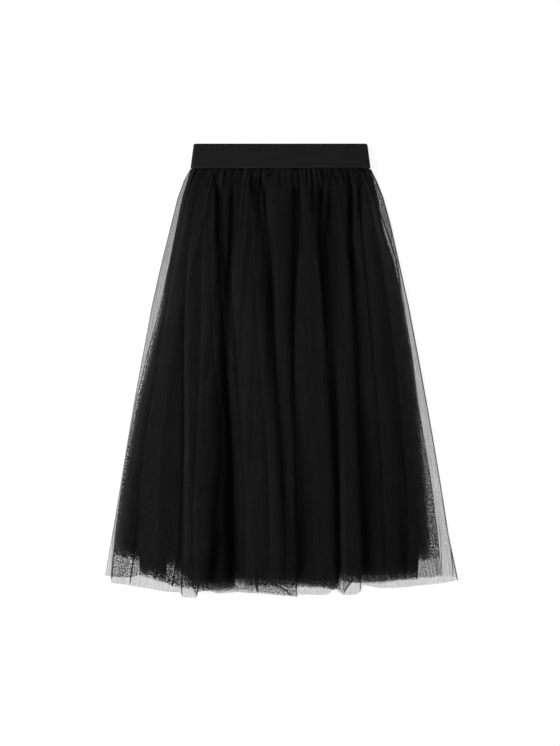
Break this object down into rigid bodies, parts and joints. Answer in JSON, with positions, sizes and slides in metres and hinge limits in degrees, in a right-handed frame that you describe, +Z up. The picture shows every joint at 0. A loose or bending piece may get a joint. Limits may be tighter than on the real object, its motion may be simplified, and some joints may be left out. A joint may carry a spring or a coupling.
{
  "type": "tulle skirt",
  "caption": "Long gathered skirt laid flat: layers of fine net over an opaque lining, on a wide elastic waistband, with soft lengthwise folds and a gently curved hem.",
  "frame": {"origin": "on the surface the skirt lies on, under the middle of its box", "axes": "+Y from the hem towards the waistband, +Z up out of the wearer's front, +X to the right in the view from above"},
  "size_m": [0.618, 0.794, 0.0215],
  "materials": {
    "elastic": "matte",
    "tulle": "matte",
    "lining": "satin"
  },
  "bodies": {
    "root": {"waistband": "elastic", "outer_tulle_front": "tulle", "outer_tulle_back": "tulle", "middle_tulle_front": "tulle", "middle_tulle_back": "tulle", "inner_tulle_front": "tulle", "inner_tulle_back": "tulle", "lining_front": "lining", "lining_back": "lining"}
  },
  "joints": []
}
